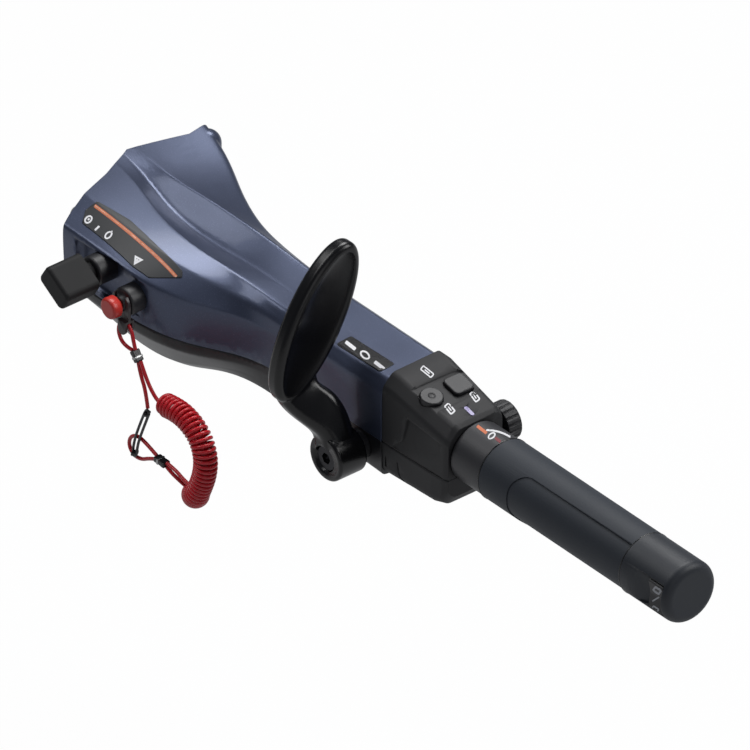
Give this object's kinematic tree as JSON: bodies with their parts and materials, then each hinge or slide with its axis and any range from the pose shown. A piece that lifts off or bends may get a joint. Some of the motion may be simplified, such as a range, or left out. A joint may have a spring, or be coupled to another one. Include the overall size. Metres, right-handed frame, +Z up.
{
  "type": "outboard tiller handle",
  "caption": "Outboard motor tiller handle: moulded housing on a pivoting arm, shift lever, switch console, twist grip with thumb rocker, key and stop switches with a coiled lanyard.",
  "frame": {"origin": "centre of the rear pivot bore", "axes": "+X along the twist grip, away from the pivot; +Y along the pivot bore, away from the switches; +Z up"},
  "size_m": [0.5765, 0.176, 0.2096],
  "materials": {
    "cast_aluminium": "as cast, satin",
    "bush_plastic": "natural acetal",
    "slate_paint": "moulded plastic under metallic slate paint",
    "black_plastic": "moulded, satin black",
    "screw_steel": "zinc plated",
    "panel_charcoal": "printed charcoal inlay",
    "label_black": "printed black label",
    "button_black": "glossy black",
    "button_dark": "satin black",
    "pointer_lilac": "pale lilac",
    "knob_black": "moulded rubber over a steel screw",
    "shoe_plastic": "friction lining",
    "switch_black": "satin black",
    "key_black": "satin black",
    "nut_brass": "bare",
    "stop_red": "glossy red",
    "clip_red": "moulded red",
    "tube_aluminium": "drawn",
    "shaft_steel": "turned",
    "drum_plastic": "moulded",
    "grip_rubber": "moulded, fine matt",
    "rocker_grey": "satin dark grey",
    "lever_black": "black coat on a casting",
    "cord_red": "braided cord",
    "coil_red": "coiled cord",
    "ferrule_black": "moulded",
    "hook_black": "coated"
  },
  "bodies": {
    "frame": {"tiller_arm": "cast_aluminium", "pivot_bushes": "bush_plastic", "upper_cover": "slate_paint", "lower_cover": "black_plastic", "cover_screws": "screw_steel", "icon_panel": "panel_charcoal", "gear_label": "label_black", "switch_console": "black_plastic", "service_cover": "black_plastic", "console_screws": "screw_steel", "switch_block": "drum_plastic", "throttle_pointer": "pointer_lilac", "friction_shoe": "shoe_plastic", "key_switch_body": "switch_black", "key_switch_nut": "nut_brass", "stop_switch_body": "switch_black", "stop_switch_nut": "nut_brass", "grip_tube": "tube_aluminium", "shaft_bushes": "bush_plastic", "shift_bush": "drum_plastic"},
    "shift": {"shift_lever": "lever_black", "lever_bolt": "screw_steel", "shift_shaft": "shaft_steel", "shift_crank": "shaft_steel"},
    "link": {"shift_link": "shaft_steel"},
    "key": {"key_knob": "key_black"},
    "stop": {"stop_button": "stop_red"},
    "lanyard": {"lanyard_clip": "clip_red", "eye_cord": "cord_red", "lead_cord": "cord_red", "tether_cord": "cord_red", "lanyard_coil": "coil_red", "return_cord": "cord_red", "upper_return_cord": "cord_red", "lower_eye_cord": "cord_red", "ferrules": "ferrule_black", "snap_hook": "hook_black"},
    "round_speed": {"round_button": "button_black"},
    "square_speed": {"square_button": "button_dark"},
    "friction": {"friction_knob": "knob_black"},
    "throttle": {"throttle_shaft": "shaft_steel", "throttle_drum": "drum_plastic", "throttle_sleeve": "drum_plastic", "throttle_collar": "black_plastic", "rubber_grip": "grip_rubber", "grip_end": "black_plastic", "rocker_pin": "shaft_steel"},
    "rocker": {"thumb_rocker": "rocker_grey"}
  },
  "joints": [
    {"name": "shift_turn", "type": "hinge", "parent": "frame", "child": "shift", "pos_m": [0.272, 0, -0.017], "axis": [0, 1, 0], "range_deg": [-25, 25]},
    {"name": "link_slide", "type": "slide", "parent": "frame", "child": "link", "axis": [1, 0, 0], "range_m": [-0.0087, 0.0087]},
    {"name": "key_turn", "type": "hinge", "parent": "frame", "child": "key", "pos_m": [0.078, -0.082, 0.0345], "axis": [0, 1, 0], "range_deg": [0, 75]},
    {"name": "stop_press", "type": "slide", "parent": "frame", "child": "stop", "axis": [0, 1, 0], "range_m": [0, 0.003], "stiffness_N_per_m": 500},
    {"name": "lanyard_pull", "type": "slide", "parent": "frame", "child": "lanyard", "axis": [0, 0, -1], "range_m": [0, 0.012]},
    {"name": "round_press", "type": "slide", "parent": "frame", "child": "round_speed", "axis": [-0.2248, 0, -0.9744], "range_m": [0, 0.0015], "stiffness_N_per_m": 500},
    {"name": "square_press", "type": "slide", "parent": "frame", "child": "square_speed", "axis": [-0.2248, 0, -0.9744], "range_m": [0, 0.0015], "stiffness_N_per_m": 500},
    {"name": "friction_turn", "type": "hinge", "parent": "frame", "child": "friction", "pos_m": [0.342, 0.026, 0.011], "axis": [0, 1, 0], "range_deg": [-180, 180]},
    {"name": "throttle_twist", "type": "hinge", "parent": "frame", "child": "throttle", "pos_m": [0.4, 0, 0.008], "axis": [1, 0, 0], "range_deg": [-5, 65]},
    {"name": "rocker_tilt", "type": "hinge", "parent": "throttle", "child": "rocker", "pos_m": [0.55, -0.0134, 0.008], "axis": [1, 0, 0], "range_deg": [-7, 7], "stiffness_Nm_per_rad": 0.15}
  ],
  "couplings": [
    {"joint": "link_slide", "follows": "shift_turn", "m_per_rad": 0.01937}
  ]
}
